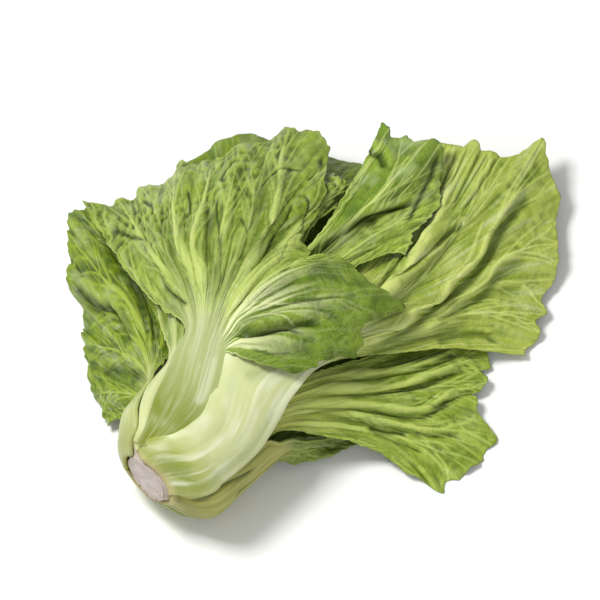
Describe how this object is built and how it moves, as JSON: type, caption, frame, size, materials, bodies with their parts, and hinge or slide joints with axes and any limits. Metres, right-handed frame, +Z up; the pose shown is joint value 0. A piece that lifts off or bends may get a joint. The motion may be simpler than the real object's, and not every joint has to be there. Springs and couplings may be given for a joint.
{
  "type": "head of chinese mustard greens",
  "caption": "Head of Chinese mustard greens lying on its side: broad pale ribbed stalks round a cut stem, opening into wide, wavy green leaves with toothed edges.",
  "frame": {"origin": "centre of the flat spot under the petioles that the head rests on", "axes": "+X along the head from the cut stem to the leaf tips, +Y to the head's left, +Z up from the surface"},
  "size_m": [0.4003, 0.3487, 0.099],
  "materials": {
    "stump": "matt, freshly cut stem",
    "leaf_under": "satin, waxy leaf",
    "leaf_front": "satin, waxy olive stalk",
    "leaf_lower_right": "satin, waxy leaf",
    "leaf_left": "satin, waxy dark leaf",
    "leaf_right": "satin, waxy pale stalk and yellow-green leaf",
    "leaf_back": "satin, waxy leaf",
    "leaf_left_inner": "satin, waxy pale stalk",
    "heart": "satin, dark crumpled leaf",
    "leaf_folded": "satin, waxy olive leaf",
    "leaf_top": "satin, waxy leaf with pale ribs"
  },
  "bodies": {
    "root": {"stump": "stump", "leaf_under": "leaf_under", "leaf_front": "leaf_front", "leaf_lower_right": "leaf_lower_right", "leaf_left": "leaf_left", "leaf_right": "leaf_right", "leaf_back": "leaf_back", "leaf_left_inner": "leaf_left_inner", "heart": "heart", "leaf_folded": "leaf_folded", "leaf_top": "leaf_top"}
  },
  "joints": []
}
